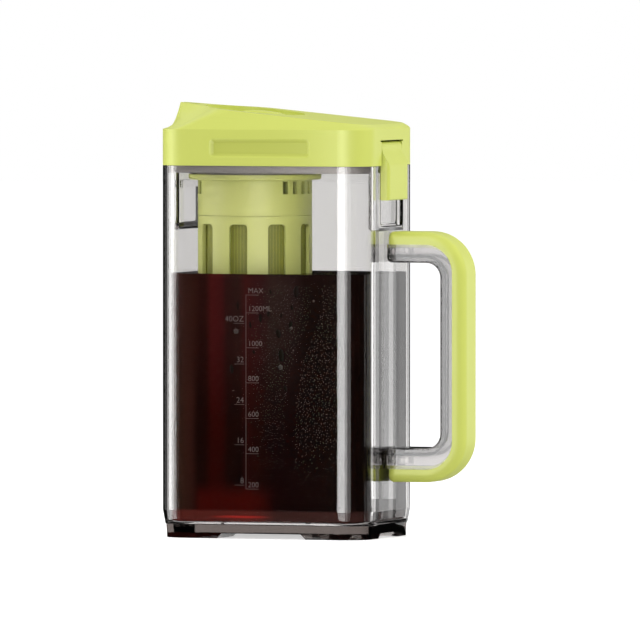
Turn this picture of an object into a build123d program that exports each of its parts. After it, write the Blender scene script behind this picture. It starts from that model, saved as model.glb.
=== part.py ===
from build123d import *
import os
from math import atan2, cos, radians, sin, sqrt

# Cold brew coffee maker: a clear fridge-door jug, a lid with a spout and a latch, and a hanging filter.
# Millimetres. +Z is up, +X points to the handle, -Y is the front with the scale, the feet stand on Z = 0.

# ---- jug ----
jug_length = 128.0
jug_depth = 90.0
half_length = jug_length / 2
half_depth = jug_depth / 2
corner_radius = 17.0
wall = 3.0
rim_height = 212.5
floor_top = 8.0
floor_under = 2.9
floor_fillet = 3.0
taper_top = 15.7
taper_bottom = 7.8
taper_inset = 1.4
foot_inset_top = 1.9
foot_inset_ground = 2.4
notch_half_front = 24.0
notch_half_side = 13.0
window_half = 39.5
window_foot_gap = 0.5
window_height = 8.2
window_corner = 2.6
window_cut = 0.45
pick_reach = 0.05

# side pockets of the jug, each with a catch rib
pocket_half = 19.0
pocket_depth = 3.6
pocket_wall = 2.4
pocket_floor = rim_height - 34.7
pocket_corner = 4.0
pocket_round = 2.4
pocket_shoulder = 2.7
rib_height = 4.2
rib_top = rim_height - 8.8
rib_bottom = rib_top - rib_height
rib_half = 15.5
rib_reach = 2.4
rib_corner = 1.0

# ---- handle ----
handle_width = 24.0
handle_gap = 1.0
handle_reach = 48.0
cover_thickness = 7.4
handle_start = half_length + handle_gap
cover_top = rim_height - 37.3
cover_bottom = 32.2
cover_side = half_length + handle_reach
joint_top = cover_top - cover_thickness
joint_bottom = cover_bottom + cover_thickness
joint_side = cover_side - cover_thickness
top_rail = 10.3
bottom_rail = 12.2
grip_rail = 7.4
frame_top = joint_top - top_rail
frame_bottom = joint_bottom + bottom_rail
frame_side = joint_side - grip_rail
cover_radius = 25.0
joint_radius = 16.0
frame_radius = 8.5
rail_width = 6.0
rail_depth = 1.8
rail_clearance = 0.15
tenon_width = 14.0
tenon_height = 6.0
tenon_length = 12.0
tenon_clearance = 0.1
cover_round = 5.0
frame_round = 1.4
arm_round = 3.0

# ---- lid ----
seam_gap = 0.2
lid_bottom = rim_height + seam_gap
skirt_height = 20.7
dome_height = 8.7
ridge_height = lid_bottom + skirt_height
slope_height = ridge_height + dome_height
lid_wall = 2.5
slope = 0.0955
spout_tip = 0.4 - half_length
nose_half = 3.8
cheek_x = 19.2 - half_length
cheek_y = half_depth - 28.2
middle_x = 29.0 - half_length
middle_y = half_depth - 16.4
shoulder_x = 44.0 - half_length
chamfer_side = 5.5
chamfer_end = 3.2
end_power = 2.2
top_corner = 13.0
cheek_place = 0.42
middle_place = 0.68
nose_power = 0.36
cheek_power = 0.7
nose_lean = 2.2
cheek_lean = 0.7
flare_shares = (0.0, 0.06, 0.14, 0.25, 0.4, 0.65, 1.0)
grip_half = 30.7
grip_bottom = lid_bottom + 4.8
grip_top = grip_bottom + 10.8
grip_depth = 1.7
grip_corner = 3.0
grip_taper = 52.0
grip_backing = 1.2
mouth_depth = 8.0
mouth_start = 2.4 - half_length
mouth_end = mouth_start + 9.0
mouth_width = 5.6
groove_radius = 1.3

# ---- filter axis, shared by the well, the cap and the filter ----
axis_x = 45.1 - half_length
well_radius = 28.5
well_wall = 2.2
well_floor = ridge_height + 1.4
well_plate = 2.4
port_radius = 24.5
port_height = 8.8
port_bottom = well_floor - port_height
cap_clearance = 0.3
cap_radius = well_radius - cap_clearance
cap_bottom = well_floor + cap_clearance
cap_plate = 2.4
cap_top = cap_bottom + cap_plate
cap_lip_width = 1.8
cap_lip_height = 0.8
bar_height = 6.2
bar_crest = cap_top + bar_height
bar_radius = 68.0
bar_width = 8.0
bar_end = 1.5
bar_round = 2.0
core_radius = 23.9
core_inner = 20.4
core_bottom = port_bottom - 1.0
core_floor = 2.0
ring_section = 1.1
ring_chamfer = 0.5
ring_height = port_bottom + 3.6
ring_fit = 0.05
core_fit = 0.1
snap_radius = 17.5
snap_bottom = port_bottom + 4.0

# ---- lid plug and seal ----
plug_plate = 2.0
plug_bottom = rim_height - 4.0
plug_wall_inset = 2.3
plug_wall = 2.0
plug_top = plug_bottom + 7.5
plug_flange_bottom = rim_height + 0.4
plug_flange_top = plug_flange_bottom + 2.1
plug_fit = 0.3
seal_bottom = plug_bottom + 0.5
seal_fit = 0.1
seal_lip = 0.5
socket_radius = 30.3
socket_wall = 2.4
socket_top = port_bottom - 3.0
slot_width = 1.8
slot_pitch = 4.2
slot_count = 4
pour_x = 17.0 - half_length
pour_y = half_depth - 16.0
pour_length = 8.0

# ---- latch ----
latch_width = 33.0
latch_gap = 0.5
latch_slot = 38.0
latch_slot_height = 0.9
latch_top = lid_bottom + 13.6
latch_thickness = 3.0
latch_foot = rib_bottom - 6.5
latch_lip = 5.2
latch_bulge = 4.2
latch_eye = 2.9
latch_pivot_x = half_length - latch_eye
latch_pivot_z = latch_top - latch_eye
latch_bend_bottom = lid_bottom - 1.7
latch_toe = 1.0
latch_round = 2.2
pin_radius = 1.25
pin_fit = 0.05
barb_gap = 0.3
barb_height = 4.0
barb_depth = 1.9
barb_top = rib_bottom - barb_gap
barb_bottom = barb_top - barb_height
ear_width = 3.4
ear_depth = 5.8
ear_bottom = lid_bottom + 7.3
pin_length = latch_width + 7.0

# ---- filter ----
gasket_inner = 30.4
gasket_outer = 36.8
gasket_height = 1.1
gasket_fit = 0.1
flange_radius = 38.0
flange_thickness = 3.1
flange_top = plug_bottom - gasket_height - gasket_fit
flange_bottom = flange_top - flange_thickness
flange_round = 1.2
cuff_step = 1.5
neck_radius = 30.0
neck_inner = 27.6
neck_top = socket_top - 1.5
collar_radius = 32.7
collar_inner = 30.4
cuff_height = 20.3
parting = flange_bottom - cuff_height
cuff_slots = 7
cuff_pitch = 12.5
cuff_slot_width = 3.2
cuff_slot_height = 7.3
cuff_slot_top = flange_bottom - 0.8
cuff_slot_bottom = cuff_slot_top - cuff_slot_height
spigot_radius = 29.5
spigot_inner = 28.2
spigot_bottom = parting - 3.1
base_bottom = 30.0
base_plate = 3.8
base_plate_top = base_bottom + base_plate
cage_bottom = base_plate_top + seam_gap
window_count = 9
window_width = 10.8
window_round = 2.4
window_top = parting - 4.9
window_bottom = cage_bottom + 16.0
window_ring = cage_bottom + 78.0
ring_half = 4.0
window_turn = 3.0
mesh_radius = 30.1
mesh_thickness = 0.4
mesh_bottom = base_plate_top + 4.6
base_plug_radius = 29.4
base_plug_inner = 27.4
base_plug_top = base_plate_top + 12.2
base_open = 25.0
base_spoke = 2.4
base_mesh_thickness = 0.5
full_turn = 360.0

jug_x = (half_length - cover_side) / 2
filter_axis = Axis((jug_x + axis_x, 0, 0), (0, 0, 1))
arm_levels = ((frame_top + joint_top) / 2, (frame_bottom + joint_bottom) / 2)


def level(height):
    """Level plane at a height, centred on the jug."""
    return Plane(origin=(jug_x, 0, height))


def across(distance):
    """Upright plane that faces the front, a distance behind the jug's middle, centred on the jug."""
    return Plane(origin=(jug_x, distance, 0), x_dir=(1, 0, 0), z_dir=(0, -1, 0))


def along(distance):
    """Upright plane that faces the handle, a distance from the jug's middle."""
    return Plane(origin=(jug_x + distance, 0, 0), x_dir=(0, 1, 0), z_dir=(1, 0, 0))


def wall_outline(inset):
    """Rounded rectangle of the jug wall, moved inwards."""
    RectangleRounded(jug_length - 2 * inset, jug_depth - 2 * inset, corner_radius - inset)


def mouth_outline(inset):
    """Inside of the jug's mouth, moved inwards, with the pocket walls taken out of its ends."""
    wall_outline(wall + inset)
    notch_start = half_length - pocket_depth - pocket_wall - inset
    notch_length = half_length - notch_start
    for side in (-1, 1):
        with Locations((side * (notch_start + notch_length / 2), 0)):
            Rectangle(notch_length, 2 * (pocket_half + pocket_wall + inset), mode=Mode.SUBTRACT)


def column(radius, bottom, top, mode=Mode.ADD):
    """Cylinder on the filter axis."""
    with BuildSketch(level(bottom)) as disc:
        with Locations((axis_x, 0)):
            Circle(radius)
    extrude(disc.sketch, amount=top - bottom, mode=mode)


def block(x0, x1, y0, y1, z0, z1, mode=Mode.ADD):
    """Box between two corners."""
    with Locations((jug_x + (x0 + x1) / 2, (y0 + y1) / 2, (z0 + z1) / 2)):
        Box(x1 - x0, y1 - y0, z1 - z0, mode=mode)


def foot_slant(side):
    """Plane just under the tapered face at the front or the back of the foot, facing outwards."""
    fall = atan2(taper_inset, taper_top - taper_bottom)
    distance = side * (half_depth - taper_inset / 2 - window_cut)
    return Plane(origin=(jug_x, distance, (taper_top + taper_bottom) / 2), x_dir=(-side, 0, 0),
                 z_dir=(0, side * cos(fall), -sin(fall)))


os.makedirs("parts", exist_ok=True)

# ---- jug body: one clear moulding with four feet, two pockets and two handle tenons ----
with BuildPart() as jug_body:
    with BuildSketch(level(taper_top)):
        wall_outline(0)
    extrude(amount=rim_height - taper_top)
    with BuildSketch(level(taper_bottom)):
        wall_outline(taper_inset)
    with BuildSketch(level(taper_top)):
        wall_outline(0)
    loft(ruled=True)
    with BuildSketch(level(0)):
        wall_outline(foot_inset_ground)
    with BuildSketch(level(taper_bottom)):
        wall_outline(foot_inset_top)
    loft(ruled=True)
    with BuildSketch(level(floor_top)):
        wall_outline(wall)
    extrude(amount=rim_height - floor_top, mode=Mode.SUBTRACT)
    floor_edges = jug_body.edges().filter_by(lambda edge: abs(edge.center().Z - floor_top) < pick_reach)
    fillet(floor_edges, floor_fillet)
    for side in (-1, 1):
        face_x = side * half_length
        bump = pocket_depth + pocket_wall
        with BuildSketch(along(side * (half_length - bump))):
            with Locations((0, (pocket_floor + rim_height) / 2 - pocket_wall / 2)):
                Rectangle(2 * (pocket_half + pocket_wall), rim_height - pocket_floor + pocket_wall)
        extrude(amount=side * (bump - wall))
        bump_foot = jug_body.edges().filter_by(Axis.Y).filter_by(
            lambda edge: abs(edge.center().X - jug_x - side * (half_length - bump)) < pick_reach
            and edge.center().Z < pocket_floor)
        fillet(bump_foot, pocket_shoulder)
        with BuildSketch(along(side * (half_length - pocket_depth))):
            with BuildLine():
                low = pocket_floor + pocket_corner
                Polyline((-pocket_half, low), (-pocket_half, rim_height), (pocket_half, rim_height),
                         (pocket_half, low))
                RadiusArc((pocket_half, low), (pocket_half - pocket_corner, pocket_floor), pocket_corner)
                Line((pocket_half - pocket_corner, pocket_floor), (pocket_corner - pocket_half, pocket_floor))
                RadiusArc((pocket_corner - pocket_half, pocket_floor), (-pocket_half, low), pocket_corner)
            make_face()
        extrude(amount=side * pocket_depth, mode=Mode.SUBTRACT)
        pocket_rim = jug_body.edges().filter_by(
            lambda edge: abs(edge.center().X - jug_x - side * (half_length - pocket_depth)) < pick_reach
            and abs(edge.center().Y) < pocket_half + pick_reach and edge.center().Z < rim_height - pick_reach)
        fillet(pocket_rim, pocket_round)
        with BuildSketch(along(side * (half_length - pocket_depth))):
            with Locations((0, (rib_bottom + rib_top) / 2)):
                RectangleRounded(2 * rib_half, rib_height, rib_corner)
        extrude(amount=side * rib_reach)
    for arm in arm_levels:
        block(half_length, handle_start + tenon_length, -tenon_width / 2, tenon_width / 2,
              arm - tenon_height / 2, arm + tenon_height / 2)
    with BuildSketch(across(half_depth)):
        with BuildLine():
            Polyline((-notch_half_front - floor_under, 0), (-notch_half_front, floor_under),
                     (notch_half_front, floor_under), (notch_half_front + floor_under, 0), close=True)
        make_face()
    extrude(amount=jug_depth, mode=Mode.SUBTRACT)
    with BuildSketch(along(-half_length)):
        with BuildLine():
            Polyline((-notch_half_side - floor_under, 0), (-notch_half_side, floor_under),
                     (notch_half_side, floor_under), (notch_half_side + floor_under, 0), close=True)
        make_face()
    extrude(amount=jug_length, mode=Mode.SUBTRACT)
    for side in (-1, 1):
        with BuildSketch(foot_slant(side)):
            with Locations((0, window_foot_gap)):
                RectangleRounded(2 * window_half, window_height, window_corner)
        extrude(amount=wall, mode=Mode.SUBTRACT)
jug_body.part.label = "jug_body"
export_step(jug_body.part, "parts/jug_body.step")


def handle_profile(line, start, mode=Mode.ADD):
    """Face inside a handle outline seen from the side, closed along a start line."""
    top, side, bottom, radius = line
    with BuildLine() as outline:
        Line((start, top), (side - radius, top))
        RadiusArc((side - radius, top), (side, top - radius), radius)
        Line((side, top - radius), (side, bottom + radius))
        RadiusArc((side, bottom + radius), (side - radius, bottom), radius)
        Line((side - radius, bottom), (start, bottom))
        Line((start, bottom), (start, top))
    make_face(outline.edges(), mode=mode)


def handle_slab(outer, inner, width, mode=Mode.ADD):
    """C-shaped slab between two handle outlines, centred on the handle."""
    with BuildSketch(across(width / 2)) as slab:
        handle_profile(outer, handle_start)
        handle_profile(inner, handle_start, Mode.SUBTRACT)
    extrude(slab.sketch, amount=width, mode=mode)


def moved_line(line, amount):
    """Handle outline moved outwards by an amount."""
    top, side, bottom, radius = line
    return (top + amount, side + amount, bottom - amount, radius + amount)


def side_edges(builder, line):
    """Edges on both sides of a handle piece that follow one outline."""
    top, side, bottom, radius = line
    on_side = builder.edges().filter_by(
        lambda edge: abs(abs(edge.center().Y) - handle_width / 2) < pick_reach)
    upright = on_side.filter_by(lambda edge: abs(edge.center().X - jug_x - side) < pick_reach)
    flat = on_side.filter_by(
        lambda edge: min(abs(edge.center().Z - top), abs(edge.center().Z - bottom)) < pick_reach)
    bends = on_side.filter_by(GeomType.CIRCLE).filter_by(lambda edge: abs(edge.radius - radius) < pick_reach)
    return upright + flat + bends


def arm_ends(builder, line):
    """Edges across the ends of a handle piece's arms, at the jug, on one outline."""
    top, bottom = line[0], line[2]
    at_jug = builder.edges().filter_by(Axis.Y).filter_by(
        lambda edge: abs(edge.center().X - jug_x - handle_start) < pick_reach)
    return at_jug.filter_by(
        lambda edge: min(abs(edge.center().Z - top), abs(edge.center().Z - bottom)) < pick_reach)


cover_line = (cover_top, cover_side, cover_bottom, cover_radius)
joint_line = (joint_top, joint_side, joint_bottom, joint_radius)
frame_line = (frame_top, frame_side, frame_bottom, frame_radius)

# ---- handle frame: clear rail of the handle, with a groove for the cover and a mortise in each arm ----
with BuildPart() as handle_frame:
    handle_slab(joint_line, frame_line, handle_width)
    fillet(arm_ends(handle_frame, frame_line), arm_round)
    fillet(side_edges(handle_frame, frame_line), frame_round)
    handle_slab(joint_line, moved_line(joint_line, -rail_depth - rail_clearance),
                rail_width + 2 * rail_clearance, Mode.SUBTRACT)
    for arm in arm_levels:
        block(handle_start, handle_start + tenon_length + tenon_clearance,
              -tenon_width / 2 - tenon_clearance, tenon_width / 2 + tenon_clearance,
              arm - tenon_height / 2 - tenon_clearance, arm + tenon_height / 2 + tenon_clearance,
              Mode.SUBTRACT)
handle_frame.part.label = "handle_frame"
export_step(handle_frame.part, "parts/handle_frame.step")

# ---- handle cover: lime cap over the rail, with a rib that snaps into the groove ----
with BuildPart() as handle_cover:
    handle_slab(cover_line, joint_line, handle_width)
    fillet(arm_ends(handle_cover, cover_line), arm_round)
    fillet(side_edges(handle_cover, cover_line), cover_round)
    handle_slab(joint_line, moved_line(joint_line, -rail_depth), rail_width)
handle_cover.part.label = "handle_cover"
export_step(handle_cover.part, "parts/handle_cover.step")


def between(start, end, share):
    """Point a share of the way from one point to another."""
    return Vector(*start) + (Vector(*end) - Vector(*start)) * share


def ridge_path(inset):
    """Ridge round one spout-side corner, from the spout end to the start of the side."""
    with BuildLine() as path:
        RadiusArc((inset - half_length, half_depth - corner_radius),
                  (corner_radius - half_length, half_depth - inset), corner_radius - inset)
    return path


def flare_path(share, inset):
    """Outline round one spout-side corner at a share of the dome's height, pinched in to the spout."""
    ridge = ridge_path(inset).wire()
    nose = between(ridge @ 0, (spout_tip + nose_lean * inset, nose_half), share ** nose_power)
    cheek = between(ridge @ cheek_place, (cheek_x + cheek_lean * inset, cheek_y - cheek_lean * inset),
                    share ** cheek_power)
    middle = between(ridge @ middle_place, (middle_x + cheek_lean * inset, middle_y - cheek_lean * inset),
                     share ** cheek_power)
    shoulder = between(ridge @ 1, (shoulder_x, half_depth - chamfer_side - inset), share)
    start_way = between((0, 1), (cheek_lean, cheek_lean), share ** nose_power)
    with BuildLine() as path:
        Spline(nose, cheek, middle, shoulder, tangents=(start_way, (1, 0)))
    return path


def lid_outline(share, inset):
    """Outline of the lid at a share of the dome's height: a rounded rectangle that narrows to the spout."""
    path = flare_path(share, inset) if share else ridge_path(inset)
    nose = path.wire() @ 0
    shoulder = path.wire() @ 1
    end_x = half_length - share ** end_power * chamfer_end - inset
    round_off = corner_radius + share * (top_corner - corner_radius) - inset
    with BuildLine() as outline:
        add(path.edges())
        Line(shoulder, (end_x - round_off, shoulder.Y))
        RadiusArc((end_x - round_off, shoulder.Y), (end_x, shoulder.Y - round_off), round_off)
        Line((end_x, shoulder.Y - round_off), (end_x, 0))
        Line((nose.X, 0), nose)
        mirror(about=Plane.XZ)
    make_face(outline.edges())


def lid_section(share, inset):
    """Sketch of the lid outline on the plane that it lies in, lower by the inset."""
    fall = slope * share
    height = ridge_height + share * dome_height - inset * (1 + share) / 2
    with BuildSketch(Plane(origin=(jug_x, 0, height), x_dir=(1, 0, -fall), z_dir=(fall, 0, 1))) as section:
        lid_outline(share, inset)
    return section.sketch


def lid_form(inset):
    """Skirt and dome of the lid, moved inwards by an inset."""
    with BuildPart() as form:
        with BuildSketch(level(lid_bottom)) as plan:
            wall_outline(inset)
        extrude(plan.sketch, amount=skirt_height - inset / 2)
        loft([lid_section(share, inset) for share in flare_shares], ruled=True)
    return form.part


lid_body = lid_form(0)

# ---- well: cup for the cap with its port collar, trimmed by the sloped top ----
with BuildPart() as lid_well:
    column(well_radius + well_wall, well_floor - well_plate, slope_height + well_radius)
    column(port_radius + well_plate, port_bottom, well_floor)
    add(lid_body, mode=Mode.INTERSECT)

# ---- lid shell: lime moulding with the sloped top, the spout, the well and the latch opening ----
with BuildPart() as lid_shell:
    add(lid_body)
    add(lid_form(lid_wall), mode=Mode.SUBTRACT)
    add(lid_well.part)
    column(well_radius, well_floor, slope_height + well_radius, Mode.SUBTRACT)
    column(port_radius, port_bottom, well_floor, Mode.SUBTRACT)
    for side in (-1, 1):
        backing_out = side * (half_depth - lid_wall)
        backing_in = side * (half_depth - lid_wall - grip_backing)
        block(-grip_half, grip_half, min(backing_in, backing_out), max(backing_in, backing_out),
              grip_bottom, grip_top)
        with BuildSketch(across(-side * half_depth)):
            with Locations((0, (grip_bottom + grip_top) / 2)):
                RectangleRounded(2 * grip_half, grip_top - grip_bottom, grip_corner)
        extrude(amount=-side * grip_depth, taper=grip_taper, mode=Mode.SUBTRACT)
    cut_half = latch_width / 2 + latch_gap
    cut_top = latch_top + latch_slot_height
    block(half_length - ear_depth, half_length + latch_gap, -cut_half, cut_half, lid_bottom, cut_top,
          Mode.SUBTRACT)
    block(half_length - lid_wall, half_length + latch_gap, -latch_slot / 2, latch_slot / 2,
          latch_top, cut_top, Mode.SUBTRACT)
    for side in (-1, 1):
        ear_in = side * cut_half
        ear_out = side * (cut_half + ear_width)
        block(half_length - ear_depth, half_length - lid_wall / 2, min(ear_in, ear_out), max(ear_in, ear_out),
              ear_bottom, latch_top)
    with BuildSketch(across(pin_length / 2 + pin_fit)):
        with Locations((latch_pivot_x, latch_pivot_z)):
            Circle(pin_radius + pin_fit)
    extrude(amount=pin_length + 2 * pin_fit, mode=Mode.SUBTRACT)
    with BuildSketch(level(slope_height - slope * mouth_end - mouth_depth)):
        with Locations(((mouth_start + mouth_end) / 2, 0)):
            SlotOverall(mouth_end - mouth_start, mouth_width)
    extrude(amount=2 * mouth_depth, mode=Mode.SUBTRACT)
    with BuildSketch(Plane(origin=(jug_x + mouth_end, 0, slope_height - slope * mouth_end),
                           x_dir=(0, 1, 0), z_dir=(-1, 0, slope))):
        Circle(groove_radius)
    extrude(amount=mouth_end - spout_tip + groove_radius, mode=Mode.SUBTRACT)
lid_shell.part.label = "lid_shell"
export_step(lid_shell.part, "parts/lid_shell.step")

# ---- lid plug: carries the seal and the filter socket, with pour slots on the spout side ----
with BuildPart() as lid_plug:
    with BuildSketch(level(plug_bottom)):
        mouth_outline(plug_wall_inset)
    extrude(amount=plug_top - plug_bottom)
    with BuildSketch(level(plug_bottom)):
        mouth_outline(seal_lip)
    extrude(amount=seal_bottom - plug_bottom)
    with BuildSketch(level(plug_flange_bottom)):
        mouth_outline(lid_wall + plug_fit - wall)
    extrude(amount=plug_flange_top - plug_flange_bottom)
    with BuildSketch(level(plug_bottom + plug_plate)):
        mouth_outline(plug_wall_inset + plug_wall)
    extrude(amount=plug_top - plug_bottom - plug_plate, mode=Mode.SUBTRACT)
    column(socket_radius + socket_wall, plug_bottom, socket_top)
    column(socket_radius, plug_bottom, socket_top, Mode.SUBTRACT)
    with BuildSketch(level(plug_bottom)):
        for side in (-1, 1):
            with Locations((pour_x, side * pour_y)):
                with GridLocations(0, slot_pitch, 1, slot_count):
                    Rectangle(pour_length, slot_width)
    extrude(amount=plug_plate, mode=Mode.SUBTRACT)
lid_plug.part.label = "lid_plug"
export_step(lid_plug.part, "parts/lid_plug.step")

# ---- lid seal: silicone band round the plug ----
with BuildPart() as lid_seal:
    with BuildSketch(level(seal_bottom)):
        mouth_outline(seal_fit)
    extrude(amount=plug_flange_bottom - seal_bottom)
    with BuildSketch(level(seal_bottom)):
        mouth_outline(plug_wall_inset)
    extrude(amount=plug_flange_bottom - seal_bottom, mode=Mode.SUBTRACT)
lid_seal.part.label = "lid_seal"
export_step(lid_seal.part, "parts/lid_seal.step")

# ---- latch: lime flap on a pin, with a barb that hooks under the catch rib ----
with BuildPart() as latch:
    with BuildSketch(across(latch_width / 2)):
        with BuildLine():
            outer = half_length + latch_bulge
            inner = outer - latch_lip
            ThreePointArc((latch_pivot_x - latch_eye, latch_pivot_z), (latch_pivot_x, latch_top),
                          (latch_pivot_x + latch_eye, latch_pivot_z))
            Spline((half_length, latch_pivot_z), (outer, latch_bend_bottom), tangents=((0, -1), (0, -1)))
            Line((outer, latch_bend_bottom), (outer, latch_foot + latch_toe))
            RadiusArc((outer, latch_foot + latch_toe), (outer - latch_toe, latch_foot), latch_toe)
            Line((outer - latch_toe, latch_foot), (inner + latch_toe, latch_foot))
            RadiusArc((inner + latch_toe, latch_foot), (inner, latch_foot + latch_toe), latch_toe)
            Polyline((inner, latch_foot + latch_toe), (inner, barb_bottom - barb_depth / 2),
                     (inner - barb_depth, barb_bottom), (inner - barb_depth, barb_top), (inner, barb_top),
                     (inner, latch_bend_bottom), (half_length - latch_thickness, latch_pivot_z - latch_eye),
                     (half_length - latch_thickness, latch_pivot_z),
                     (latch_pivot_x - latch_eye, latch_pivot_z))
        make_face()
        with Locations((latch_pivot_x, latch_pivot_z)):
            Circle(pin_radius + pin_fit, mode=Mode.SUBTRACT)
    extrude(amount=latch_width)
    with BuildSketch(level(latch_foot)):
        with Locations((latch_pivot_x, 0)):
            RectangleRounded(2 * (outer - latch_pivot_x), latch_width, latch_round)
    extrude(amount=latch_top - latch_foot, mode=Mode.INTERSECT)
latch.part.label = "latch"
export_step(latch.part, "parts/latch.step")

# ---- latch pin: steel rod through both ears ----
with BuildPart() as latch_pin:
    with BuildSketch(across(pin_length / 2)):
        with Locations((latch_pivot_x, latch_pivot_z)):
            Circle(pin_radius)
    extrude(amount=pin_length)
latch_pin.part.label = "latch_pin"
export_step(latch_pin.part, "parts/latch_pin.step")

# ---- fill cap: level lime disc in the well, with a rim and an arched finger bar ----
with BuildPart() as fill_cap:
    bar_half = sqrt(2 * bar_radius * bar_height - bar_height ** 2) - bar_end
    end_rise = bar_radius - sqrt(bar_radius ** 2 - bar_half ** 2)
    with BuildSketch(across(bar_width / 2)):
        with BuildLine():
            ThreePointArc((axis_x - bar_half, bar_crest - end_rise), (axis_x, bar_crest),
                          (axis_x + bar_half, bar_crest - end_rise))
            Polyline((axis_x + bar_half, bar_crest - end_rise), (axis_x + bar_half, cap_bottom),
                     (axis_x - bar_half, cap_bottom), (axis_x - bar_half, bar_crest - end_rise))
        make_face()
    extrude(amount=bar_width)
    fillet(fill_cap.edges().filter_by(GeomType.CIRCLE), bar_round)
    column(cap_radius, cap_bottom, cap_top)
    column(cap_radius, cap_top, cap_top + cap_lip_height)
    with BuildSketch(level(cap_top)):
        with Locations((axis_x, 0)):
            Circle(cap_radius - cap_lip_width)
            Rectangle(2 * bar_half, bar_width, mode=Mode.SUBTRACT)
    extrude(amount=cap_lip_height, mode=Mode.SUBTRACT)
    column(core_inner - core_fit, snap_bottom, cap_bottom)
    column(snap_radius, snap_bottom, cap_bottom, Mode.SUBTRACT)
fill_cap.part.label = "fill_cap"
export_step(fill_cap.part, "parts/fill_cap.step")

# ---- cap core: cup under the cap that fills the port and carries the ring ----
with BuildPart() as cap_core:
    column(core_radius, core_bottom, cap_bottom)
    column(core_inner, core_bottom + core_floor, cap_bottom, Mode.SUBTRACT)
    groove_inner = port_radius - ring_fit - 2 * ring_section
    column(core_radius, ring_height - ring_section - ring_fit, ring_height + ring_section + ring_fit,
           Mode.SUBTRACT)
    column(groove_inner, ring_height - ring_section - ring_fit, ring_height + ring_section + ring_fit)
    column(core_inner, ring_height - ring_section - ring_fit, ring_height + ring_section + ring_fit,
           Mode.SUBTRACT)
cap_core.part.label = "cap_core"
export_step(cap_core.part, "parts/cap_core.step")

# ---- cap seal: silicone ring in the groove of the core ----
with BuildPart() as cap_seal:
    with BuildSketch(across(0)) as ring_profile:
        with Locations((axis_x + port_radius - ring_fit - ring_section, ring_height)):
            Rectangle(2 * ring_section, 2 * ring_section)
        chamfer(ring_profile.vertices().sort_by(Axis.X)[-2:], ring_chamfer)
    revolve(axis=filter_axis)
cap_seal.part.label = "cap_seal"
export_step(cap_seal.part, "parts/cap_seal.step")

# ---- filter gasket: flat silicone ring between the plug and the flange ----
with BuildPart() as filter_gasket:
    column(gasket_outer, flange_top + gasket_fit, plug_bottom)
    column(gasket_inner, flange_top + gasket_fit, plug_bottom, Mode.SUBTRACT)
filter_gasket.part.label = "filter_gasket"
export_step(filter_gasket.part, "parts/filter_gasket.step")


def radial(angle):
    """Plane on the filter axis that faces outwards at an angle."""
    turn = radians(angle)
    return Plane(origin=(jug_x + axis_x, 0, 0), x_dir=(-sin(turn), cos(turn), 0),
                 z_dir=(cos(turn), sin(turn), 0))


# ---- filter collar: neck, flange and slotted cuff, with a spigot for the cage ----
with BuildPart() as filter_collar:
    with BuildSketch(across(0)):
        with BuildLine():
            Polyline((axis_x + neck_inner, neck_top), (axis_x + neck_radius, neck_top),
                     (axis_x + neck_radius, flange_top), (axis_x + flange_radius, flange_top),
                     (axis_x + flange_radius, flange_bottom + flange_round))
            RadiusArc((axis_x + flange_radius, flange_bottom + flange_round),
                      (axis_x + flange_radius - flange_round, flange_bottom), flange_round)
            Polyline((axis_x + flange_radius - flange_round, flange_bottom),
                     (axis_x + collar_radius, flange_bottom), (axis_x + collar_radius, parting),
                     (axis_x + spigot_radius, parting), (axis_x + spigot_radius, spigot_bottom),
                     (axis_x + spigot_inner, spigot_bottom), (axis_x + spigot_inner, parting + cuff_step),
                     (axis_x + collar_inner, parting + 2 * cuff_step), (axis_x + collar_inner, flange_bottom),
                     (axis_x + neck_inner, flange_top), (axis_x + neck_inner, neck_top))
        make_face()
    revolve(axis=filter_axis)
    for side in (0, full_turn / 2):
        for step in range(cuff_slots):
            angle = side + (step - (cuff_slots - 1) / 2) * cuff_pitch
            with BuildSketch(radial(angle)):
                with Locations((0, (cuff_slot_bottom + cuff_slot_top) / 2)):
                    Rectangle(cuff_slot_width, cuff_slot_top - cuff_slot_bottom)
            extrude(amount=collar_radius + wall, mode=Mode.SUBTRACT)
filter_collar.part.label = "filter_collar"
export_step(filter_collar.part, "parts/filter_collar.step")

# ---- filter cage: tube with two rows of round-cornered windows ----
with BuildPart() as filter_cage:
    column(collar_radius, cage_bottom, parting - seam_gap)
    column(collar_inner, cage_bottom, parting - seam_gap, Mode.SUBTRACT)
    for step in range(window_count):
        angle = window_turn + (step / window_count - 1 / 4) * full_turn
        for low, high in ((window_bottom, window_ring - ring_half), (window_ring + ring_half, window_top)):
            with BuildSketch(radial(angle)):
                with Locations((0, (low + high) / 2)):
                    RectangleRounded(window_width, high - low, window_round)
            extrude(amount=collar_radius + wall, mode=Mode.SUBTRACT)
filter_cage.part.label = "filter_cage"
export_step(filter_cage.part, "parts/filter_cage.step")

# ---- filter mesh: fine sleeve inside the cage ----
with BuildPart() as filter_mesh:
    column(mesh_radius, mesh_bottom, parting - seam_gap)
    column(mesh_radius - mesh_thickness, mesh_bottom, parting - seam_gap, Mode.SUBTRACT)
filter_mesh.part.label = "filter_mesh"
export_step(filter_mesh.part, "parts/filter_mesh.step")

# ---- filter base: push-in bottom with spokes ----
with BuildPart() as filter_base:
    column(collar_radius, base_bottom, base_plate_top)
    column(base_open, base_bottom, base_plate_top, Mode.SUBTRACT)
    with BuildSketch(level(base_bottom)):
        with Locations((axis_x, 0)):
            Rectangle(2 * base_open + base_spoke, base_spoke)
            Rectangle(base_spoke, 2 * base_open + base_spoke)
    extrude(amount=base_plate_top - base_bottom)
    column(base_plug_radius, base_plate_top, base_plug_top)
    column(base_plug_inner, base_plate_top, base_plug_top, Mode.SUBTRACT)
filter_base.part.label = "filter_base"
export_step(filter_base.part, "parts/filter_base.step")

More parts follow.
